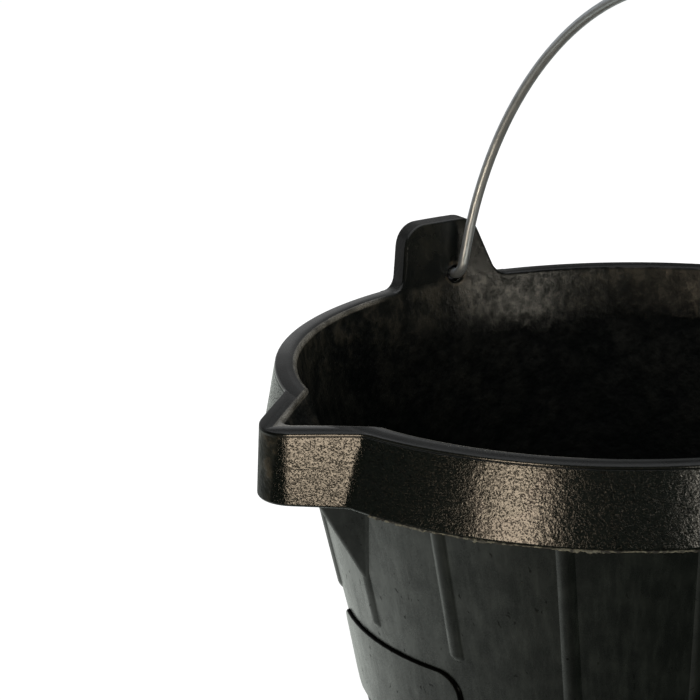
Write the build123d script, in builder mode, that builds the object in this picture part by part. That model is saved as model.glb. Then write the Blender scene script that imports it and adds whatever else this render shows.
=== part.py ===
# Rubber builders bucket with a pouring spout and a swinging wire bail.
# Millimetres, +Z up. The origin is the centre of the flat base, on the bucket's axis.
# The spout points to -Y and the bail swings about a line along X through the two ears.

import os
from math import asin, cos, degrees, hypot, radians, sin, tan

from build123d import *

# Wall, base and rim
rim_height = 280.0  # top face of the rim above the floor
rim_dia = 320.0  # outer edge of the rim's top face
rim_width = 9.5  # from that edge in to the inner wall
rim_edge = 0.9  # rounding of the rim's outer edge
mouth_edge = 1.6  # rounding where the space inside opens through the rim and the ears
base_dia = 194.0  # outside of the wall at the floor
wall = 4.5
base_thickness = 8.0
base_edge = 6.0  # rounding under the outside of the base
base_corner = 14.0  # rounding inside, where the wall meets the base

# Skirt that turns down from the rim, hollow underneath
skirt_depth = 33.2
skirt_flare = 6.8  # how far its lower edge stands out past the rim's top edge
skirt_wall = 5.0
skirt_edge = 1.2  # rounding of its lower edge
rim_roof = 9.0  # solid thickness of the rim above the hollow

# Pouring spout
spout_angle = 90.0  # between its two flanks, seen from above
spout_overhang = 20.2  # from the rim's outer edge to the point where the channel's flanks would meet
spout_width = 8.6  # of the rim along the flanks
spout_flare = 2.2  # how far the flanks stand out at the skirt's lower edge
spout_tip = 7.0  # rounding along the bottom of the channel
spout_nose = 18.0  # rounding of the rim's outer edge around the tip
spout_blend = 12.0  # rounding where the flanks leave the rim's outer edge
spout_sink = 0.4  # how far the spout's own curve starts inside the round wall
spout_drop = 5.0  # how far the rim falls away, at the point where its outer flanks would meet
skirt_drop = 2.1  # how far the skirt's lower edge falls, at the same point
drop_run = 50.0  # from the point where the channel's flanks would meet, back to where the rim starts to fall
keel_depth = 89.0  # how far below the rim the channel runs out into the wall
keel_edge = 3.5  # rounding along the outside of the channel

# Ribs down the outside of the wall
rib_count = 16
rib_width = 7.8
rib_height = 1.4
rib_foot = 24.0  # lower end above the floor
rib_stop = 7.0  # gap between the label pad and the ribs above it
rib_start = 3.5  # gap between the label pad and the ribs below it

# Bare label pad under the spout
pad_width = 98.0
pad_depth = 111.6  # from the rim down to the pad's top edge
pad_height = 40.0
pad_corner = 10.0
pad_proud = 1.5  # at its top edge
pad_lift = 1.6  # how much prouder it is at its bottom edge
pad_bevel = 0.8

# Ears that carry the bail, leaning out with the wall
ear_width = 56.6  # across the flanks, at the rim
ear_height = 30.0
ear_wall = 11.6
ear_shift = 4.7  # of the ear's middle from the wire's hole, towards the spout
ear_slope = 18.0  # lean of the flank behind the wire, in degrees
ear_front_slope = 14.6  # lean of the flank towards the spout
ear_corner = 10.0  # rounding of its top corner behind the wire
ear_front_corner = 13.5  # rounding of its top corner towards the spout
ear_root = 8.0  # rounding where the flanks meet the rim
ear_edge = 2.0  # rounding along the edges of its outer face

# Wire bail and its holes
wire_dia = 5.0
hole_dia = 8.0
hole_mouth = 1.0  # rounding at both ends of the hole
pivot_rise = 3.5  # from the rim up to the wire's axis in the ears
bend_radius = 6.4  # on the wire's centreline, on both sides of each ear
bail_rise = 15.5  # from that axis up to the centre of the arch
bail_lean = 13.0  # how far the bail leans back as it stands, in degrees
tail_height = 16.0  # from the wire's axis up to its turned-up end
tail_gap = 1.5  # between the turned-up end and the ear
tail_chamfer = 0.6

# Room for a cut to run clear past the face that it opens, and how close counts as touching
run_out = 2.0
touch = 0.01

os.makedirs("parts", exist_ok=True)

# Values that follow from the sizes above
rim_radius = rim_dia / 2
body_radius = rim_radius - rim_width + wall
taper = (body_radius - base_dia / 2) / rim_height
flank = radians(spout_angle / 2)
spout_reach = rim_radius + spout_overhang
drop_start = spout_reach - drop_run
lip_reach = spout_reach + spout_width / sin(flank)
keel_reach = spout_reach + wall / sin(flank)
keel_slope = (keel_reach - body_radius + taper * keel_depth) / keel_depth
skirt_level = rim_height - skirt_depth
roof_level = rim_height - rim_roof
ear_top = rim_height + ear_height
pivot_level = rim_height + pivot_rise


def wall_radius(level, inset=0.0):
    """Outside radius of the tapered wall at a level, or of a surface set in from it."""
    return body_radius - inset - taper * (rim_height - level)


def ear_radius(level):
    """Radius of the ears' outer face at a level."""
    return wall_radius(level, wall - ear_wall)


def lip_outline(level, round_grow, spout_grow, tip):
    """Face within the rim's outer edge and its spout, each grown by its own amount, with a rounded tip."""
    radius = rim_radius + round_grow
    reach = lip_reach + spout_grow / sin(flank)
    turn = asin(reach * sin(flank) / radius) - flank
    left = (-radius * sin(turn), -radius * cos(turn))
    right = (radius * sin(turn), -radius * cos(turn))
    with BuildSketch(Plane.XY.offset(level)) as outline:
        with BuildLine():
            Polyline(left, (0, -reach), right)
            ThreePointArc(right, (0, radius), left)
        make_face()
        fillet(outline.vertices().sort_by(Axis.Y)[1:3], spout_blend - spout_grow)
        fillet(outline.vertices().sort_by(Axis.Y)[0], tip)
    return outline.sketch


def spout_outline(level, grow, tip):
    """Outline of the spout's channel, grown all round, where it has sunk back along the keel to a level."""
    with BuildSketch(Plane((0, keel_slope * (rim_height - level), level))) as outline:
        add(lip_outline(0, grow - rim_width, grow - spout_width, tip))
        with Locations((0, -lip_reach)):
            Rectangle(2 * lip_reach, 2 * (lip_reach - body_radius * cos(flank)), mode=Mode.INTERSECT)
    return outline.sketch


def rib_bar(foot, head, round_head):
    """Bar sunk in the wall under the spout with its low crest outside, rounded where it ends in the open."""
    bar_radius = ((rib_width / 2) ** 2 + rib_height**2) / (2 * rib_height)
    slope = hypot(taper, 1)
    slant = Vector(0, -taper / slope, 1 / slope)
    outward = Vector(0, -1 / slope, -taper / slope)
    sink = outward * (rib_height - bar_radius)
    low = Vector(0, -wall_radius(foot), foot) + slant * (rib_width / 2) + sink
    high = Vector(0, -wall_radius(head), head) - slant * (rib_width / 2) + sink
    with BuildPart() as bar:
        with BuildSketch(Plane(origin=low, z_dir=slant)):
            Circle(bar_radius)
        extrude(amount=(high - low).length)
        with Locations([low, high] if round_head else [low]):
            Sphere(bar_radius)
    return bar.part


def on_mouth(edge):
    """True for an edge where the space inside opens through the rim or an ear."""
    spots = [edge.position_at(share) for share in (touch, 1 / 2, 1 - touch)]
    if min(spot.Z for spot in spots) < rim_height - spout_drop:
        return False
    return all(cavity.part.distance_to(Vertex(*spot)) < touch for spot in spots)


# Rim block: the outline of the rim, flaring down past the skirt's lower edge, cut off along both edges
low_level = skirt_level - skirt_drop - run_out
low_share = (rim_height - low_level) / skirt_depth
low_flare = low_share * spout_flare
low_reach = lip_reach + low_flare / sin(flank)
with BuildPart() as rim:
    loft(
        [
            lip_outline(low_level, low_share * skirt_flare, low_flare, spout_nose + low_flare),
            lip_outline(rim_height, 0, 0, spout_nose),
        ],
        ruled=True,
    )
    with BuildSketch(Plane.YZ):
        with BuildLine():
            TangentArc((-drop_start, rim_height), (-low_reach, rim_height - spout_drop), tangent=(-1, 0))
            Line((-low_reach, rim_height - spout_drop), (-low_reach, skirt_level - skirt_drop))
            TangentArc((-drop_start, skirt_level), (-low_reach, skirt_level - skirt_drop), tangent=(-1, 0))
            Polyline(
                (-drop_start, skirt_level),
                (low_reach, skirt_level),
                (low_reach, rim_height),
                (-drop_start, rim_height),
            )
        make_face()
    extrude(amount=low_reach, both=True, mode=Mode.INTERSECT)
    rim_edges = rim.edges().filter_by(Axis.X, reverse=True)
    fillet(rim_edges.filter_by(lambda edge: edge.center().Z > rim_height - spout_drop), rim_edge)
    fillet(rim_edges.filter_by(lambda edge: edge.center().Z < skirt_level + touch), skirt_edge)

# Hollow between the skirt and the wall
low_grow = low_flare - skirt_wall
roof_share = rim_roof / skirt_depth
roof_grow = roof_share * spout_flare - skirt_wall
with BuildPart() as underside:
    loft(
        [
            lip_outline(
                low_level,
                low_share * skirt_flare - skirt_wall,
                low_grow,
                spout_nose + low_grow,
            ),
            lip_outline(
                roof_level,
                roof_share * skirt_flare - skirt_wall,
                roof_grow,
                spout_nose + roof_grow,
            ),
        ],
        ruled=True,
    )

# Ears: one bar across the bucket with the outline of both ears, cut to the round of their outer faces
ear_half = ear_width / 2
ear_back = ear_half - ear_height * tan(radians(ear_slope))
ear_front = ear_half - ear_height * tan(radians(ear_front_slope))
boss_half = ear_half + ear_root
with BuildPart() as ears:
    with BuildSketch(Plane.YZ.shift_origin((0, -ear_shift, rim_height))) as ear_outline:
        with BuildLine():
            Polyline(
                (-boss_half, -rim_roof),
                (-boss_half, 0),
                (-ear_half, 0),
                (-ear_front, ear_height),
                (ear_back, ear_height),
                (ear_half, 0),
                (boss_half, 0),
                (boss_half, -rim_roof),
                close=True,
            )
        make_face()
        fillet(ear_outline.vertices().group_by(Axis.Y)[-1].sort_by(Axis.X)[-1], ear_corner)
        fillet(ear_outline.vertices().group_by(Axis.Y)[-1].sort_by(Axis.X)[0], ear_front_corner)
        fillet(ear_outline.vertices().group_by(Axis.Y)[1].sort_by(Axis.X)[1:3], ear_root)
    extrude(amount=ear_radius(ear_top), both=True)
    with BuildSketch(Plane.XZ):
        Polygon(
            (0, roof_level),
            (ear_radius(roof_level), roof_level),
            (ear_radius(ear_top), ear_top),
            (0, ear_top),
            align=None,
        )
    revolve(axis=Axis.Z, mode=Mode.INTERSECT)
    ear_edges = ears.faces().filter_by(GeomType.CONE).edges()
    fillet(ear_edges.filter_by(lambda edge: edge.center().Z > rim_height - touch), ear_edge)

# Label pad: a rounded plate that follows the wall
pad_top = rim_height - pad_depth
pad_foot = pad_top - pad_height
pad_rate = pad_lift / pad_height
with BuildPart() as pad:
    with BuildSketch(Plane.XZ.offset(wall_radius(pad_foot) / 2)):
        with Locations((0, (pad_top + pad_foot) / 2)):
            RectangleRounded(pad_width, pad_height, pad_corner)
    extrude(amount=rim_radius)
    with BuildSketch(Plane.XZ):
        Polygon(
            (0, pad_foot - run_out),
            (wall_radius(pad_foot - run_out) + pad_proud + pad_lift + pad_rate * run_out, pad_foot - run_out),
            (wall_radius(pad_top + run_out) + pad_proud - pad_rate * run_out, pad_top + run_out),
            (0, pad_top + run_out),
            align=None,
        )
    revolve(axis=Axis.Z, mode=Mode.INTERSECT)
    chamfer(pad.faces().sort_by(Axis.Y)[0].edges(), pad_bevel)

# Space inside the bucket, with the spout's channel, up past the ears
keel_run = (keel_depth + run_out) * hypot(1, keel_slope)
cavity_top = ear_top + run_out
with BuildPart() as cavity:
    with BuildSketch(Plane.XZ) as inside:
        Polygon(
            (0, base_thickness),
            (wall_radius(base_thickness, wall), base_thickness),
            (wall_radius(cavity_top, wall), cavity_top),
            (0, cavity_top),
            align=None,
        )
        fillet(inside.vertices().sort_by(Axis.Y)[:2].sort_by(Axis.X)[-1], base_corner)
    revolve(axis=Axis.Z)
    channel = spout_outline(rim_height, -spout_sink, spout_tip - spout_sink)
    extrude(channel, amount=run_out)
    extrude(channel, amount=keel_run, dir=(0, keel_slope, -1))

# Holes for the wire, rounded at both ends
inner_x = wall_radius(pivot_level, wall)
outer_x = ear_radius(pivot_level)
bore_level = pivot_level + hole_dia / 2
mouth_level = bore_level + hole_mouth
with BuildPart() as holes:
    with BuildSketch(Plane.XZ):
        with BuildLine():
            Polyline(
                (inner_x, mouth_level),
                (inner_x - bend_radius, mouth_level),
                (inner_x - bend_radius, pivot_level),
                (outer_x + bend_radius, pivot_level),
                (outer_x + bend_radius, mouth_level),
                (outer_x, mouth_level),
            )
            RadiusArc((outer_x, mouth_level), (outer_x - hole_mouth, bore_level), -hole_mouth)
            Line((outer_x - hole_mouth, bore_level), (inner_x + hole_mouth, bore_level))
            RadiusArc((inner_x + hole_mouth, bore_level), (inner_x, mouth_level), -hole_mouth)
        make_face()
    revolve(axis=Axis((0, 0, pivot_level), (1, 0, 0)))
    mirror(about=Plane.YZ)

# Ribs: those over the pad stop above it and start again below it
rib_step = 360 / rib_count
pad_ribs = round(degrees(asin(pad_width / 2 / wall_radius(pad_top))) / rib_step)
rib_head = roof_level + rib_width / 2 + run_out
long_rib = rib_bar(rib_foot, rib_head, False)
upper_rib = rib_bar(pad_top + rib_stop, rib_head, False)
lower_rib = rib_bar(rib_foot, pad_foot - rib_start, True)

# Bucket moulding
with BuildPart() as bucket_body:
    add(rim.part)
    add(ears.part)
    add(underside.part, mode=Mode.SUBTRACT)
    with BuildSketch(Plane.XZ) as outside:
        Polygon(
            (0, 0),
            (wall_radius(0), 0),
            (wall_radius(roof_level), roof_level),
            (0, roof_level),
            align=None,
        )
        fillet(outside.vertices().sort_by(Axis.Y)[:2].sort_by(Axis.X)[-1], base_edge)
    revolve(axis=Axis.Z)
    extrude(spout_outline(roof_level, wall - spout_sink, keel_edge), amount=keel_run, dir=(0, keel_slope, -1))
    for place in range(rib_count):
        with Locations(Rotation(0, 0, place * rib_step)):
            if min(place, rib_count - place) > pad_ribs:
                add(long_rib)
            else:
                add(upper_rib)
                add(lower_rib)
    add(pad.part)
    add(cavity.part, mode=Mode.SUBTRACT)
    fillet(bucket_body.edges().filter_by(on_mouth), mouth_edge)
    add(holes.part, mode=Mode.SUBTRACT)

bucket_body.part.label = "bucket_body"
export_step(bucket_body.part, "parts/bucket_body.step")

# Wire bail, drawn flat in the plane that leans back about the pivot
leg_x = inner_x + hole_mouth - bend_radius
tail_x = ear_radius(pivot_level + tail_height) + tail_gap + wire_dia / 2
lean = radians(bail_lean)
bail_plane = Plane(origin=(0, 0, pivot_level), x_dir=(1, 0, 0), z_dir=(0, -cos(lean), sin(lean)))
with BuildPart() as bail:
    with BuildLine(bail_plane) as route:
        FilletPolyline(
            (-tail_x, tail_height),
            (-tail_x, 0),
            (-leg_x, 0),
            (-leg_x, bail_rise),
            radius=bend_radius,
        )
        ThreePointArc((-leg_x, bail_rise), (0, bail_rise + leg_x), (leg_x, bail_rise))
        FilletPolyline(
            (leg_x, bail_rise),
            (leg_x, 0),
            (tail_x, 0),
            (tail_x, tail_height),
            radius=bend_radius,
        )
    with BuildSketch(Plane(origin=route.line @ 0, z_dir=route.line % 0)):
        Circle(wire_dia / 2)
    sweep()
    chamfer(bail.faces().filter_by(GeomType.PLANE).edges(), tail_chamfer)

bail.part.label = "bail"
export_step(bail.part, "parts/bail.step")
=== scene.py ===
import math
import bpy
import bmesh
from mathutils import Matrix, Vector, noise


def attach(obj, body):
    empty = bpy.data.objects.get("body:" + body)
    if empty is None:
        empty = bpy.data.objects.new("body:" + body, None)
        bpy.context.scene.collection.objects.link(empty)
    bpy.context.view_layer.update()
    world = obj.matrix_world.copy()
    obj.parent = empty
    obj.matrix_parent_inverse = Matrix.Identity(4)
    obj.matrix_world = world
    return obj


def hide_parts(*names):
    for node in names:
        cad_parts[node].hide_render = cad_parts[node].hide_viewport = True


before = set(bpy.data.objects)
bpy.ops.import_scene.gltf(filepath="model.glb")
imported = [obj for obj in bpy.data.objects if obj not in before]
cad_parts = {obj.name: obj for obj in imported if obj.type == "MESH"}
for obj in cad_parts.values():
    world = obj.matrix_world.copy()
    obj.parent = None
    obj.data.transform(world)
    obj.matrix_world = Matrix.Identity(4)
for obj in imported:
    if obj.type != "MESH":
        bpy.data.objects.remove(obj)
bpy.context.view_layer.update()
print("frame loaded, nodes:", sorted(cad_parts))


class Val:
    # wraps one shader socket, so that maths on it can be written as a plain expression
    def __init__(self, graph, socket):
        self.graph, self.socket = graph, socket

    def maths(self, operation, other=None, flip=False):
        pair = [other, self] if flip else [self, other]
        sockets = {i: v for i, v in enumerate(pair) if v is not None}
        return self.graph.node("ShaderNodeMath", {"operation": operation}, sockets)

    def __add__(self, other): return self.maths("ADD", other)
    def __radd__(self, other): return self.maths("ADD", other)
    def __sub__(self, other): return self.maths("SUBTRACT", other)
    def __rsub__(self, other): return self.maths("SUBTRACT", other, True)
    def __mul__(self, other): return self.maths("MULTIPLY", other)
    def __rmul__(self, other): return self.maths("MULTIPLY", other)
    def __truediv__(self, other): return self.maths("DIVIDE", other)
    def __pow__(self, other): return self.maths("POWER", other)
    def __abs__(self): return self.maths("ABSOLUTE")
    def low(self, other): return self.maths("MINIMUM", other)
    def high(self, other): return self.maths("MAXIMUM", other)

    def over(self, start, full):
        # 0 up to start, 1 from full on, smooth between; start may be the larger one
        return self.graph.node("ShaderNodeMapRange", {"interpolation_type": "SMOOTHSTEP"},
                               {"Value": self, "From Min": start, "From Max": full})


class Graph:
    # the nodes of one material or world
    def __init__(self, owner):
        owner.use_nodes = True
        self.tree = owner.node_tree
        self.tree.nodes.clear()

    def node(self, kind, settings=None, sockets=None, out=0):
        made = self.tree.nodes.new(kind)
        for name, value in (settings or {}).items():
            setattr(made, name, value)
        for name, value in (sockets or {}).items():
            if isinstance(value, Val):
                self.tree.links.new(value.socket, made.inputs[name])
            else:
                made.inputs[name].default_value = value
        return None if out is None else Val(self, made.outputs[out])

    def place(self):
        return self.node("ShaderNodeTexCoord", out="Object")

    def axes(self, point):
        return [self.node("ShaderNodeSeparateXYZ", None, {0: point}, axis) for axis in "XYZ"]

    def dot(self, point, way):
        return self.node("ShaderNodeVectorMath", {"operation": "DOT_PRODUCT"}, {0: point, 1: way}, "Value")

    def mirrored(self):
        # 1 for rays that come off gloss or through glass
        gloss = self.node("ShaderNodeLightPath", out="Is Glossy Ray")
        through = self.node("ShaderNodeLightPath", out="Is Transmission Ray")
        return (gloss + through).low(1.0)

    def grains(self, point, scale, detail, rough, stretch=None):
        if stretch:
            point = self.node("ShaderNodeMapping", None, {"Vector": point, "Scale": stretch})
        return self.node("ShaderNodeTexNoise", None,
                         {"Vector": point, "Scale": scale, "Detail": detail, "Roughness": rough})

    def cells(self, point, scale, warp, stretch=(1, 1, 1)):
        # distance from the nearest of many scattered points, in cells, with their outlines warped
        shift = self.node("ShaderNodeTexNoise", None,
                          {"Vector": point, "Scale": scale * 0.9, "Detail": 1.0}, "Color")
        shift = self.node("ShaderNodeVectorMath", {"operation": "MULTIPLY_ADD"},
                          {0: shift, 1: (warp / scale,) * 3, 2: point})
        point = self.node("ShaderNodeMapping", None, {"Vector": shift, "Scale": stretch})
        return self.node("ShaderNodeTexVoronoi", None, {"Vector": point, "Scale": scale}, "Distance")

    def mix(self, share, first, second):
        return self.node("ShaderNodeMix", {"data_type": "RGBA"}, {0: share, 6: first, 7: second}, 2)

    def bump(self, height):
        # height in millimetres
        return self.node("ShaderNodeBump", None, {"Height": height, "Strength": 1.0, "Distance": 0.001})

    def surface(self, shader, kind="ShaderNodeOutputMaterial"):
        self.node(kind, None, {"Surface": shader}, None)


def addObject(name, data):
    made = bpy.data.objects.new(name, data)
    bpy.context.scene.collection.objects.link(made)
    return made


# camera: where the photograph was taken from
camera = {
    "spot": (0.8799, -0.6161, 0.5971), "turn": 61.73, "tilt": 73.651, "roll": -1.817,
    "lens": 126.81, "sensor": 36,
}
cameraData = bpy.data.cameras.new("camera")
cameraData.lens = camera["lens"]
cameraData.sensor_width = camera["sensor"]
cameraObject = addObject("camera", cameraData)
cameraObject.matrix_world = (Matrix.Translation(camera["spot"])
                             @ Matrix.Rotation(math.radians(camera["turn"]), 4, "Z")
                             @ Matrix.Rotation(math.radians(camera["tilt"]), 4, "X")
                             @ Matrix.Rotation(math.radians(camera["roll"]), 4, "Z"))
bpy.context.scene.camera = cameraObject
bpy.context.scene.view_settings.view_transform = "Standard"
print("camera placed")


# white floor; gloss sees it dark, apart from glows that lie to the left and behind
floorSet = {
    "half": 6.0, "white": 0.40, "dim": 0.04,
    "near": 0.86, "far": 1.0, "pales": (0.30, 0.75),  # brightness seen, and where it changes
    "nearGlows": ((165, 0.50), (234, 0.54)), "nearFall": 3.0, "nearReach": (0.9, 0.45),  # heading and strength
    "farGlow": (160, 0.75), "farFall": 6.0, "farReach": (0.6, 1.0),
    "tint": (0.94, 1.0, 0.93, 1),
}


def makeFloor():
    bm = bmesh.new()
    bmesh.ops.create_grid(bm, x_segments=2, y_segments=2, size=floorSet["half"])
    mesh = bpy.data.meshes.new("floor")
    bm.to_mesh(mesh)
    bm.free()
    floor = addObject("floor", mesh)
    material = bpy.data.materials.new("studioFloor")
    g = Graph(material)
    x, y, z = g.axes(g.place())
    r = (x * x + y * y) ** 0.5

    def glow(heading, strength, fall):
        turn = math.radians(heading)
        side = (x * math.cos(turn) + y * math.sin(turn)) / (r + 0.001)
        return (side * 0.5 + 0.5).high(0.0) ** fall * strength

    glows = 0
    for heading, strength in floorSet["nearGlows"]:
        glows = glows + glow(heading, strength, floorSet["nearFall"])
    glows = (glows * r.over(*floorSet["nearReach"])
             + glow(*floorSet["farGlow"], floorSet["farFall"]) * r.over(*floorSet["farReach"]))
    seen = g.node("ShaderNodeLightPath", out="Is Camera Ray")
    mirrored = g.mirrored()
    level = seen * (floorSet["near"] + r.over(*floorSet["pales"]) * (floorSet["far"] - floorSet["near"]))
    ground = g.mix(mirrored, (floorSet["white"],) * 3 + (1,), (floorSet["dim"],) * 3 + (1,))
    hue = g.mix(mirrored, (1, 1, 1, 1), floorSet["tint"])
    paint = g.node("ShaderNodeBsdfDiffuse", None, {"Color": ground})
    shine = g.node("ShaderNodeEmission", None, {"Color": hue, "Strength": level + mirrored * glows})
    g.surface(g.node("ShaderNodeAddShader", None, {0: paint, 1: shine}))
    mesh.materials.append(material)


makeFloor()
print("floor laid")


# studio light: a warm softbox left of the camera, a paler one to its right, a large soft one overhead
lights = {
    "warmBox": {"azimuth": -65.5, "lift": 0.213, "far": 0.9, "size": (0.26, 0.27),
                "power": 0.345, "colour": (1.0, 0.81, 0.59), "spread": 60},
    "sideBox": {"azimuth": 4, "lift": 0.345, "far": 1.6, "size": (1.1, 0.18),
                "power": 1.0, "colour": (1.0, 0.93, 0.79), "spread": 60},
    "topBox": {"azimuth": 172, "lift": 1.95, "far": 0.55, "size": (2.6, 2.6),
               "power": 17.0, "colour": (0.97, 0.98, 1.0), "spread": 150},
}
aim = Vector((0, 0, 0.26))
for name, one in lights.items():
    data = bpy.data.lights.new(name, "AREA")
    data.shape = "RECTANGLE"
    data.size, data.size_y = one["size"]
    data.energy = one["power"]
    data.color = one["colour"]
    data.spread = math.radians(one["spread"])
    lamp = addObject(name, data)
    turn = math.radians(one["azimuth"])
    spot = Vector((math.cos(turn) * one["far"], math.sin(turn) * one["far"], one["lift"]))
    lamp.matrix_world = Matrix.Translation(spot) @ (spot - aim).to_track_quat("Z", "Y").to_matrix().to_4x4()
    lamp.visible_camera = False

# dim room; gloss also sees a low pale wall behind the bucket, brightest to the left
surround = {
    "fill": 0.055, "back": 0.13, "low": 0.12, "rise": 3.4,
    "behindWay": (-0.88, 0.48, 0.0), "leftWay": (-0.48, -0.88, 0.0),
    "behindFrom": (0.0, 0.6), "leftFrom": (-0.13, 0.04), "topFrom": (0.54, 0.24),
}


def makeSurround():
    world = bpy.data.worlds.new("studio")
    bpy.context.scene.world = world
    g = Graph(world)
    seen = g.node("ShaderNodeLightPath", out="Is Camera Ray")
    way = g.node("ShaderNodeTexCoord", out="Generated")
    height = g.axes(way)[2]
    left = g.dot(way, surround["leftWay"]).over(*surround["leftFrom"])
    behind = (g.dot(way, surround["behindWay"]).over(*surround["behindFrom"])
              * (surround["low"] + surround["rise"] * left) * height.over(*surround["topFrom"]))
    level = seen + (1 - seen) * (surround["fill"] + g.mirrored() * behind * surround["back"])
    g.surface(g.node("ShaderNodeBackground", None, {"Color": (1, 1, 1, 1), "Strength": level}),
              "ShaderNodeOutputWorld")


makeSurround()
print("lights set")


# black rubber of the moulding: its finish
rubber = {
    "black": (0.0038, 0.0058, 0.0052, 1), "worn": (0.016, 0.0215, 0.0195, 1),
    "dust": (0.16, 0.13, 0.09, 1), "scuffHighlight": (0.46, 0.44, 0.38, 1),
    "soil": (0.074, 0.072, 0.053, 1), "shadeAndMarkBlack": (0.0015, 0.0015, 0.0015, 1),
    "rough": 0.27, "ior": 1.45, "coatRough": 0.24,
    "crumbSize": 1400, "lumpSize": 420, "pitSize": 1080,
    "poreSize": 1500, "cloudSize": 26, "blotchSize": 85, "dentSize": 240,
    "streakSize": 300, "speckSize": 900, "markSize": 240,
}
# measures of the moulding that its finish follows, in metres
mould = {
    "rimRadius": 0.160, "rimHeight": 0.280, "wallRadius": 0.155, "taper": 0.2071,
    "flank": 0.13602, "spoutStart": 0.15576, "fallStart": 0.1302, "fallCurve": 0.867,
    "skirtFrom": (0.2435, 0.2455), "earFrom": (0.2803, 0.2812), "rimHalf": 0.0047,
    "innerEdge": (-0.0078, -0.0086), "channelFrom": (0.146, 0.150),
    "padHalf": (0.039, 0.010), "padMiddle": 0.1484, "padCorner": 0.010,
    "pivot": 0.2835, "holeEdge": 0.0052,
}


def makeRubber():
    material = bpy.data.materials.new("blackRubber")
    g = Graph(material)
    point = g.place()
    x, y, z = g.axes(point)
    forward = 0 - y  # towards the spout
    r = (x * x + y * y) ** 0.5
    flankOut = (abs(x) - y) * 0.70711 - mould["flank"]
    # distance out from the rim's outer outline, spout included, and from the tapered wall
    edge = (r - mould["rimRadius"]).low(flankOut.high(y + mould["spoutStart"]))
    wallOut = r - (mould["wallRadius"] - mould["taper"] * (mould["rimHeight"] - z))
    # depth below the rim's top, which falls away along the spout
    run = (-mould["fallStart"] - y).high(0.0)
    under = mould["rimHeight"] - run * run / mould["fallCurve"] - z
    # the faces of the moulding
    upper = z.over(*mould["skirtFrom"])
    ear = z.over(*mould["earFrom"])
    notEar = 1 - ear
    skirt = upper * edge.over(-0.0008, 0.0002) * notEar
    outer = (1 - upper) * wallOut.over(-0.0030, -0.0015)
    rimTop = upper * under.over(0.0020, 0.0008) * edge.over(-0.0100, -0.0090) * (1 - skirt) * notEar
    inner = (1 - skirt - rimTop - outer).high(0.0)
    crown = rimTop * (1 - ((edge + mould["rimHalf"]) / mould["rimHalf"]) ** 2)
    # the crumb starts under a fine groove below the skirt's upper edge
    groove = skirt * abs(under - 0.0014).over(0.0004, 0.0001)
    edgeLine = skirt * under.over(0.0002, 0.0006) * under.over(0.0012, 0.0009)
    crumbed = skirt * under.over(0.0013, 0.0020)
    # inner edge of the rim, worn pale on the left and along the spout; the pale scuff also serves as a painted
    # highlight
    leftRim = x.over(-0.05, -0.11) * forward.over(0.040, 0.065)
    inward = edge.over(*mould["innerEdge"]).high(
        flankOut.over(*mould["innerEdge"]) * forward.over(*mould["channelFrom"]))
    wornEdgeHighlight = (inward * under.over(0.0024, 0.0014) * notEar * (1 - outer)
                * leftRim.high(forward.over(0.090, 0.105)))
    # painted shade on parts of the rim's top (the left's inner half, the front's outer half, the back) and on
    # the ears' edges; the spout's top is darkened as well
    spoutRim = forward.over(0.120, 0.140) * x.over(0.01, -0.01)
    frontRim = forward.over(0.02, 0.06) * x.over(-0.10, -0.06)
    leftRimShade = edge.over(-0.0044, -0.0072) * leftRim * 0.3
    frontRimShade = frontRim * edge.over(-0.0072, -0.0048) * 0.5
    backRimShade = y.over(0.01, 0.05) * 0.5
    paintedRimEarShade = (rimTop * leftRimShade.high(spoutRim * 0.4).high(backRimShade).high(frontRimShade)
            + ear * wallOut.over(-0.0041, -0.0032) * 0.4)
    # outline of the label pad, with a painted shadow line along its step
    padX = abs(x) - mould["padHalf"][0]
    padZ = abs(z - mould["padMiddle"]) - mould["padHalf"][1]
    reach = ((padX.high(0.0) ** 2 + padZ.high(0.0) ** 2) ** 0.5
             + padX.high(padZ).low(0.0) - mould["padCorner"])
    front = forward.over(0.03, 0.05) * outer
    pad = front * reach.over(-0.0004, -0.0012)
    padShadowLine = front * abs(reach + 0.0001).over(0.0006, 0.0002)
    ribKeelShade = outer * (1 - pad) * wallOut.over(0.0008, 0.0014)  # ribs and keel, painted darker as shade
    # crumb with pits on the skirt
    crumb = g.grains(point, rubber["crumbSize"], 2.0, 0.6)
    lumps = g.grains(point, rubber["lumpSize"], 3.0, 0.55)
    pits = (g.cells(point, rubber["pitSize"], 1.5) + (crumb - 0.5) * 0.9).over(0.46, 0.24)
    # pores, clouds, dents, streaks and nicks elsewhere
    pores = g.grains(point, rubber["poreSize"], 2.0, 0.5)
    cloud = g.grains(point, rubber["cloudSize"], 4.0, 0.6)
    blotch = g.grains(point, rubber["blotchSize"], 3.0, 0.55)
    dents = g.grains(point, rubber["dentSize"], 3.0, 0.6)
    streak = g.grains(point, rubber["streakSize"], 3.0, 0.6, (1.0, 1.0, 0.05))
    specks = g.grains(point, rubber["speckSize"], 1.0, 0.5).over(0.60, 0.72)
    marks = g.cells(point, rubber["markSize"], 1.5, (1.0, 1.0, 0.3)).over(0.15, 0.07)
    # soil that stays on the upper inside and in the ears
    soiled = (inner * (blotch * 0.5 + cloud * 0.3 + dents * 0.3).over(0.42, 0.78)
              * z.over(0.15, 0.262) * (1 - ear * 0.5))
    mottled = inner * notEar * (blotch * 0.5 + dents * 0.5).over(0.50, 0.62) * z.over(0.240, 0.272)
    # rubber rubbed pale round the wire's holes, with painted shade inside them
    fromPivot = (y * y + (z - mould["pivot"]) ** 2) ** 0.5
    rubbed = (ear.high(inner) * abs(fromPivot - mould["holeEdge"]).over(0.0016, 0.0004)
              * abs(x).over(0.140, 0.145) * blotch.over(0.45, 0.6))
    boreShade = fromPivot.over(0.0043, 0.0039) * abs(x).over(0.148, 0.1515)
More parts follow.
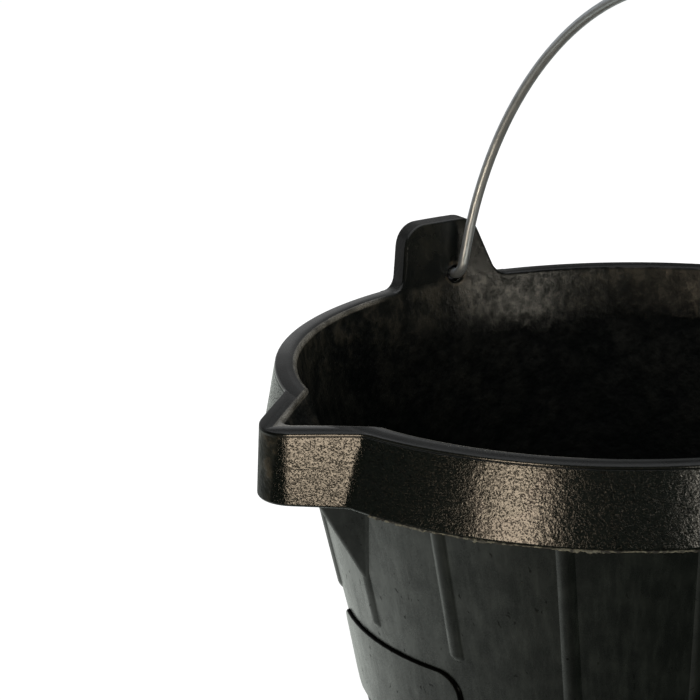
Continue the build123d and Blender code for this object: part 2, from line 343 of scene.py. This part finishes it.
    # colour, from the plain black up to dust, scuffs and the painted highlight on the rim's inner edge
    faded = (streak.over(0.42, 0.75) * 0.45 * outer + blotch.over(0.4, 0.7) * 0.25 * outer
             + cloud.over(0.4, 0.7) * 0.35 * rimTop + crumb.over(0.48, 0.62) * crumbed * 0.35)
    dusty = (crumbed * (1 - pits) * specks * 0.06 + inner * blotch.over(0.52, 0.72) * specks * 0.2
             + mottled * 0.17 + edgeLine * crumb.over(0.4, 0.6) * 0.06 + rubbed * 0.5)
    scuffedHighlight = wornEdgeHighlight * (0.35 + crumb.over(0.35, 0.65) * blotch.over(0.3, 0.6) * 0.65)
    colour = g.mix(faded, rubber["black"], rubber["worn"])
    colour = g.mix(soiled * 0.55, colour, rubber["soil"])
    colour = g.mix(dusty.low(1.0), colour, rubber["dust"])
    colour = g.mix(scuffedHighlight, colour, rubber["scuffHighlight"])
    rough = (rubber["rough"] - skirt * 0.14 + inner * 0.10 * notEar + outer * 0.01 - pad * 0.05
             + (cloud - 0.5) * 0.12 + (blotch - 0.5) * 0.14 * (1 - skirt))
    # the wall's skin is unevenly glossy, inside and out
    insideGloss = inner * notEar * z.over(0.15, 0.25) * (blotch * 0.6 + dents * 0.6).over(0.50, 0.82)
    outsideGloss = (0.35 + (blotch - 0.5) * 0.9 + (streak - 0.5) * 0.9 + (pores - 0.5) * 1.3
                    - marks * 0.5).high(0.0).low(1.0)
    coat = insideGloss + outer * outsideGloss
    height = (crumbed * (crumb * 0.055 + lumps * 0.16 - pits * 0.03) - groove * 0.14 + crown * 0.45
              + (1 - crumbed) * (crumb * 0.012 + pores * 0.012) + (skirt - crumbed) * crumb * 0.05
              + (streak - 0.5) * outer * 0.06 - marks * outer * 0.05
              + inner * (1 - ear * 0.8) * ((dents - 0.5) * 0.6 + (blotch - 0.5) * 0.8))
    skin = g.node("ShaderNodeBsdfPrincipled", None,
                  {"Base Color": colour, "Roughness": rough, "Normal": g.bump(height), "IOR": rubber["ior"],
                   "Coat Weight": coat, "Coat Roughness": rubber["coatRough"]})
    # painted shade in the pad's step, inside the holes, in the skirt's pits and groove, on the ribs and keel,
    # a little over the pad and on parts of the rim and ears; dark marks on the wall as well
    paintedShadeAndMarks = (padShadowLine * 0.92 + boreShade * 0.8 + pits * crumbed * 0.68 + groove * 0.6 + marks * outer * 0.4
              + paintedRimEarShade + ribKeelShade * 0.3 + pad * 0.06)
    shadeAndMarkBlack = g.node("ShaderNodeBsdfDiffuse", None, {"Color": rubber["shadeAndMarkBlack"]})
    g.surface(g.node("ShaderNodeMixShader", None, {0: paintedShadeAndMarks.low(1.0), 1: skin, 2: shadeAndMarkBlack}))
    return material


# rubber torn pale along the flash
torn = {"pale": (0.18, 0.185, 0.15, 1), "dark": (0.03, 0.03, 0.026, 1), "rough": 0.6, "grainSize": 420}


def makeTorn():
    material = bpy.data.materials.new("tornRubber")
    g = Graph(material)
    grain = g.grains(g.place(), torn["grainSize"], 3.0, 0.6)
    colour = g.mix(grain.over(0.42, 0.62), torn["dark"], torn["pale"])
    g.surface(g.node("ShaderNodeBsdfPrincipled", None, {"Base Color": colour, "Roughness": torn["rough"]}))
    return material


# dull galvanised wire, drawn lengthwise
wire = {
    "zinc": (0.62, 0.68, 0.73, 1), "dark": (0.44, 0.485, 0.52, 1), "rough": 0.36, "metal": 0.6,
    "centre": (0, 0.0035, 0.2986), "up": (0, 0.2250, 0.9744), "across": (0, -0.9744, 0.2250),
    "drawnSize": 1500, "drawnLength": 0.006, "patchSize": 150, "fineSize": 2600,
}


def makeZinc():
    material = bpy.data.materials.new("galvanisedWire")
    g = Graph(material)
    point = g.place()
    # run round the arch's own centre, so that the drawing marks follow the wire
    arm = g.node("ShaderNodeVectorMath", {"operation": "SUBTRACT"}, {0: point, 1: wire["centre"]})
    x = g.axes(point)[0]
    rise = g.dot(arm, wire["up"])
    side = g.dot(arm, wire["across"])
    ring = (x * x + rise * rise) ** 0.5
    turn = rise.maths("ARCTAN2", x)
    along = g.node("ShaderNodeCombineXYZ", None, {0: ring, 1: side, 2: turn * wire["drawnLength"]})
    drawn = g.grains(along, wire["drawnSize"], 3.0, 0.6)
    patches = g.grains(point, wire["patchSize"], 4.0, 0.6)
    fine = g.grains(point, wire["fineSize"], 2.0, 0.6)
    pale = drawn.over(0.35, 0.68) * 0.65 + patches.over(0.35, 0.7) * 0.35
    colour = g.mix(pale, wire["dark"], wire["zinc"])
    rough = wire["rough"] + (patches - 0.5) * 0.2
    g.surface(g.node("ShaderNodeBsdfPrincipled", None,
                     {"Base Color": colour, "Roughness": rough, "Metallic": wire["metal"],
                      "Normal": g.bump(drawn * 0.05 + fine * 0.015)}))
    return material


blackRubber = makeRubber()
tornRubber = makeTorn()
galvanisedWire = makeZinc()
print("materials mixed")


# bucket moulding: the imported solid, merged and shaded smooth
shell = {"merge": 2e-6, "sliver": 1e-7, "crease": 32, "weight": 60}


def solidCopy():
    bm = bmesh.new()
    bm.from_mesh(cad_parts["bucket_body"].data)
    bmesh.ops.remove_doubles(bm, verts=bm.verts, dist=shell["merge"])
    return bm


def dressed(name, bm, material):
    mesh = bpy.data.meshes.new(name)
    bm.to_mesh(mesh)
    bm.free()
    mesh.materials.append(material)
    piece = addObject(name, mesh)
    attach(piece, "bucket")
    return piece


def makeShell():
    bm = solidCopy()
    bmesh.ops.dissolve_degenerate(bm, edges=bm.edges, dist=shell["sliver"])
    for face in bm.faces:
        face.smooth = True
    for seam in bm.edges:
        if len(seam.link_faces) == 2:
            seam.smooth = seam.calc_face_angle(0) < math.radians(shell["crease"])
    moulding = dressed("bucketMoulding", bm, blackRubber)
    even = moulding.modifiers.new("evenShading", "WEIGHTED_NORMAL")
    even.keep_sharp = True
    even.weight = shell["weight"]
    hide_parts("bucket_body")


# torn flash that the mould leaves along the skirt's lower edge, round to the spout
flash = {
    "level": 0.2473, "minRadius": 0.1650, "spoutHalf": 0.044, "join": 0.00005, "step": 0.0009,
    "sink": 0.0003, "down": 0.0010, "out": 0.0007, "thick": 0.0005,
    "raggedSize": 0.0031, "fineSize": 0.0012, "patchSize": 0.019,
}


def grainy(point, size, seed):
    # repeatable noise from -1 to 1
    return noise.noise(Vector(point) / size + Vector((seed, 2 * seed, -seed)))


def outward(v):
    return Vector((v.co.x, v.co.y, 0)).normalized()


def onSkirt(v):
    inSpout = abs(v.co.x) < flash["spoutHalf"] and v.co.y < 0
    return math.hypot(v.co.x, v.co.y) > flash["minRadius"] and not inSpout


def makeFlash():
    bm = solidCopy()
    everything = bm.verts[:] + bm.edges[:] + bm.faces[:]
    cut = bmesh.ops.bisect_plane(bm, geom=everything, plane_co=(0, 0, flash["level"]), plane_no=(0, 0, 1))
    line = [part for part in cut["geom_cut"] if isinstance(part, bmesh.types.BMEdge)]
    keep = {e for e in line if all(onSkirt(v) for v in e.verts)}
    # only the line round the skirt is left of the solid
    bmesh.ops.delete(bm, geom=bm.faces[:], context="FACES_ONLY")
    bmesh.ops.delete(bm, geom=[e for e in bm.edges if e not in keep], context="EDGES")
    bmesh.ops.delete(bm, geom=[v for v in bm.verts if not v.link_edges], context="VERTS")
    bmesh.ops.remove_doubles(bm, verts=bm.verts, dist=flash["join"])
    longest = max(e.calc_length() for e in bm.edges)
    bmesh.ops.subdivide_edges(bm, edges=bm.edges[:], cuts=max(1, int(longest / flash["step"])))
    for v in bm.verts:
        v.co -= outward(v) * flash["sink"]
    # drawn out and down to a ragged lip
    grown = bmesh.ops.extrude_edge_only(bm, edges=bm.edges[:])["geom"]
    for v in [part for part in grown if isinstance(part, bmesh.types.BMVert)]:
        ragged = 0.55 + 0.6 * grainy(v.co, flash["raggedSize"], 3) + 0.5 * grainy(v.co, flash["fineSize"], 7)
        patchy = max(0.05, 0.6 + 1.3 * grainy(v.co, flash["patchSize"], 11))
        reach = max(0.1, ragged) * patchy
        v.co += (outward(v) * (flash["sink"] + flash["out"] * (0.4 + reach))
                 - Vector((0, 0, flash["down"] * reach)))
    bmesh.ops.recalc_face_normals(bm, faces=bm.faces)
    bmesh.ops.solidify(bm, geom=bm.faces[:], thickness=flash["thick"])
    for face in bm.faces:
        face.smooth = False
    print("skirt flash:", len(bm.faces), "faces")
    dressed("skirtFlash", bm, tornRubber)


makeShell()
makeFlash()
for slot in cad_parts["bail"].material_slots:
    slot.material = galvanisedWire
print("bucket moulding dressed")
